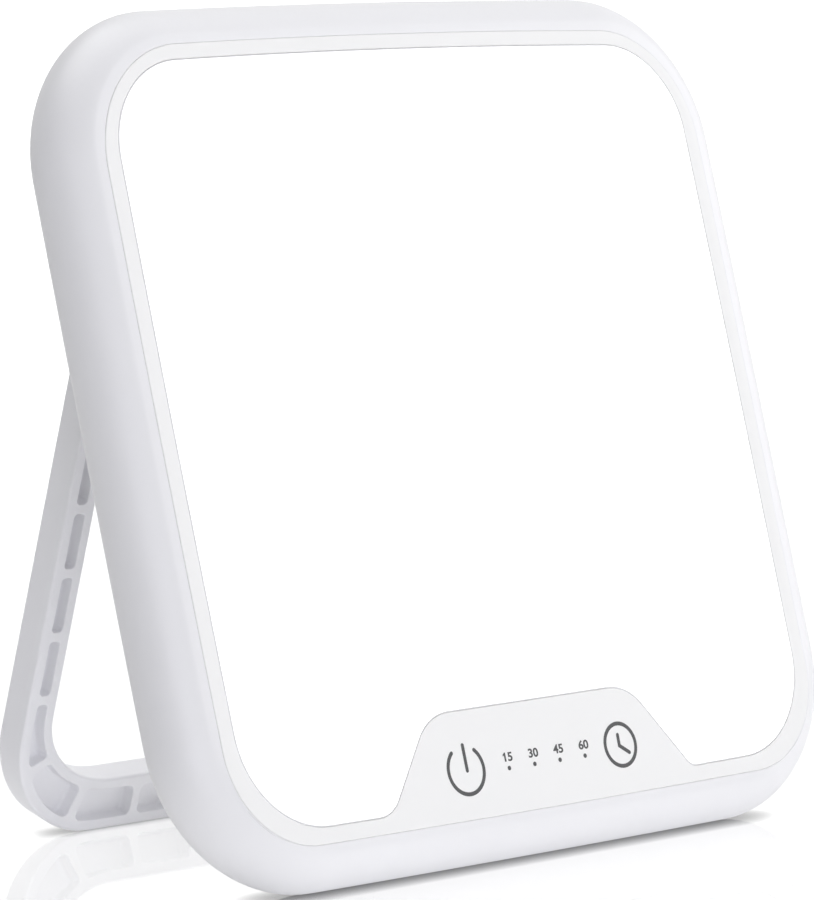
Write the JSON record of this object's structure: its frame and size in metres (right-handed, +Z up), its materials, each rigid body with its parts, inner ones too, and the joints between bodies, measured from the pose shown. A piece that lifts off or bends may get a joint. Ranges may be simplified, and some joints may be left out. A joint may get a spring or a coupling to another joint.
{
  "type": "light therapy lamp",
  "caption": "Flat bright-light panel with a round rim and touch controls, leaning back on a folding U-shaped stand.",
  "frame": {"origin": "middle of the footprint, on the surface that the lamp stands on", "axes": "+Z up, -Y the way the lit face looks, +X to the right of a person who faces the lamp"},
  "size_m": [0.2446, 0.1304, 0.2269],
  "materials": {
    "white_housing": "satin moulded plastic",
    "white_trim": "smooth satin",
    "opal_lens": "opal diffuser, lit white",
    "diffuser_film": "milky film",
    "reflector_white": "matte white",
    "led_board": "white solder mask",
    "circuit_board": "green solder mask",
    "black_plastic": "satin",
    "conductive_foam": "matte foam",
    "clear_led": "clear epoxy",
    "screw_steel": "zinc plated",
    "insert_brass": "turned",
    "washer_nylon": "natural nylon"
  },
  "bodies": {
    "lamp_head": {"front_shell": "white_housing", "rear_cover": "white_housing", "front_trim": "white_trim", "diffuser_lens": "opal_lens", "diffuser_film": "diffuser_film", "reflector_tray": "reflector_white", "light_baffle": "reflector_white", "led_board": "led_board", "control_board": "circuit_board", "driver_board": "circuit_board", "board_pin_header": "black_plastic", "dc_jack": "black_plastic", "led_lead": "black_plastic", "touch_pad_power": "conductive_foam", "touch_pad_timer": "conductive_foam", "indicator_led_15": "clear_led", "indicator_led_30": "clear_led", "indicator_led_45": "clear_led", "indicator_led_60": "clear_led", "cover_screw_1": "screw_steel", "cover_screw_2": "screw_steel", "cover_screw_3": "screw_steel", "cover_screw_4": "screw_steel", "cover_screw_5": "screw_steel", "cover_screw_6": "screw_steel", "led_board_screw_1": "screw_steel", "led_board_screw_2": "screw_steel", "led_board_screw_3": "screw_steel", "led_board_screw_4": "screw_steel", "control_board_screw_1": "screw_steel", "control_board_screw_2": "screw_steel", "driver_board_screw_1": "screw_steel", "driver_board_screw_2": "screw_steel", "hinge_insert_left": "insert_brass", "hinge_insert_right": "insert_brass", "pivot_screw_left": "screw_steel", "pivot_screw_right": "screw_steel", "friction_washer_left": "washer_nylon", "friction_washer_right": "washer_nylon"},
    "stand": {"stand_bracket": "white_housing", "pivot_cap_left": "white_housing", "pivot_cap_right": "white_housing"}
  },
  "joints": [
    {"name": "stand_hinge", "type": "hinge", "parent": "lamp_head", "child": "stand", "pos_m": [0, 0.01092, 0.16947], "axis": [1, 0, 0], "range_deg": [-32.8, 57]}
  ]
}
